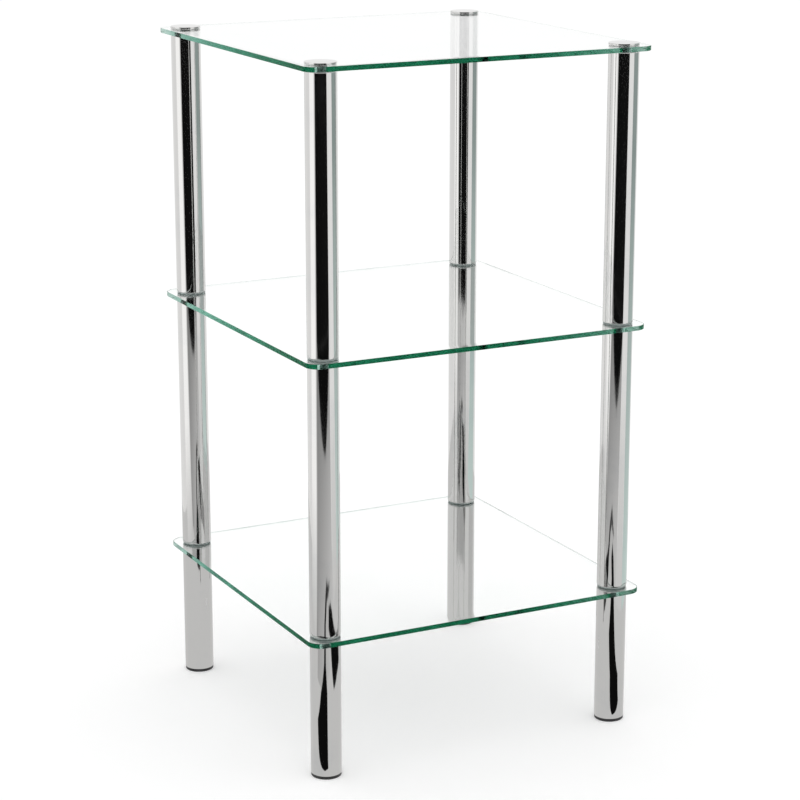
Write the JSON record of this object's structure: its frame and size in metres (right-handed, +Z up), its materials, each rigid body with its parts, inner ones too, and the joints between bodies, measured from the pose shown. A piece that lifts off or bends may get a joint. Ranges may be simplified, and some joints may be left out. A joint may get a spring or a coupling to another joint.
{
  "type": "glass etagere",
  "caption": "Free-standing open etagere: square clear glass shelves with rounded corners, clamped between stacked round chrome tube legs with flat caps and black floor glides.",
  "frame": {"origin": "on the floor, at the centre of the four legs", "axes": "+Z up along the legs; +X to the right and +Y to the back of the etagere; the plan is square"},
  "size_m": [0.388, 0.388, 0.7328],
  "materials": {
    "clear_glass": "polished",
    "chrome": "polished",
    "zinc_plated_steel": "satin",
    "clear_plastic": "translucent",
    "black_plastic": "matte"
  },
  "bodies": {
    "root": {"bottom_shelf": "clear_glass", "middle_shelf": "clear_glass", "top_shelf": "clear_glass", "foot_tube_front_left": "chrome", "foot_tube_front_right": "chrome", "foot_tube_back_left": "chrome", "foot_tube_back_right": "chrome", "middle_tube_front_left": "chrome", "middle_tube_front_right": "chrome", "middle_tube_back_left": "chrome", "middle_tube_back_right": "chrome", "upper_tube_front_left": "chrome", "upper_tube_front_right": "chrome", "upper_tube_back_left": "chrome", "upper_tube_back_right": "chrome", "cap_front_left": "chrome", "cap_front_right": "chrome", "cap_back_left": "chrome", "cap_back_right": "chrome", "glide_front_left": "black_plastic", "glide_front_right": "black_plastic", "glide_back_left": "black_plastic", "glide_back_right": "black_plastic", "bottom_grommet_front_left": "clear_plastic", "bottom_grommet_front_right": "clear_plastic", "bottom_grommet_back_left": "clear_plastic", "bottom_grommet_back_right": "clear_plastic", "middle_grommet_front_left": "clear_plastic", "middle_grommet_front_right": "clear_plastic", "middle_grommet_back_left": "clear_plastic", "middle_grommet_back_right": "clear_plastic", "top_grommet_front_left": "clear_plastic", "top_grommet_front_right": "clear_plastic", "top_grommet_back_left": "clear_plastic", "top_grommet_back_right": "clear_plastic", "foot_stud_plug_front_left": "zinc_plated_steel", "foot_stud_plug_front_right": "zinc_plated_steel", "foot_stud_plug_back_left": "zinc_plated_steel", "foot_stud_plug_back_right": "zinc_plated_steel", "middle_stud_plug_front_left": "zinc_plated_steel", "middle_stud_plug_front_right": "zinc_plated_steel", "middle_stud_plug_back_left": "zinc_plated_steel", "middle_stud_plug_back_right": "zinc_plated_steel", "middle_socket_front_left": "zinc_plated_steel", "middle_socket_front_right": "zinc_plated_steel", "middle_socket_back_left": "zinc_plated_steel", "middle_socket_back_right": "zinc_plated_steel", "upper_socket_front_left": "zinc_plated_steel", "upper_socket_front_right": "zinc_plated_steel", "upper_socket_back_left": "zinc_plated_steel", "upper_socket_back_right": "zinc_plated_steel", "cap_socket_front_left": "zinc_plated_steel", "cap_socket_front_right": "zinc_plated_steel", "cap_socket_back_left": "zinc_plated_steel", "cap_socket_back_right": "zinc_plated_steel"}
  },
  "joints": []
}
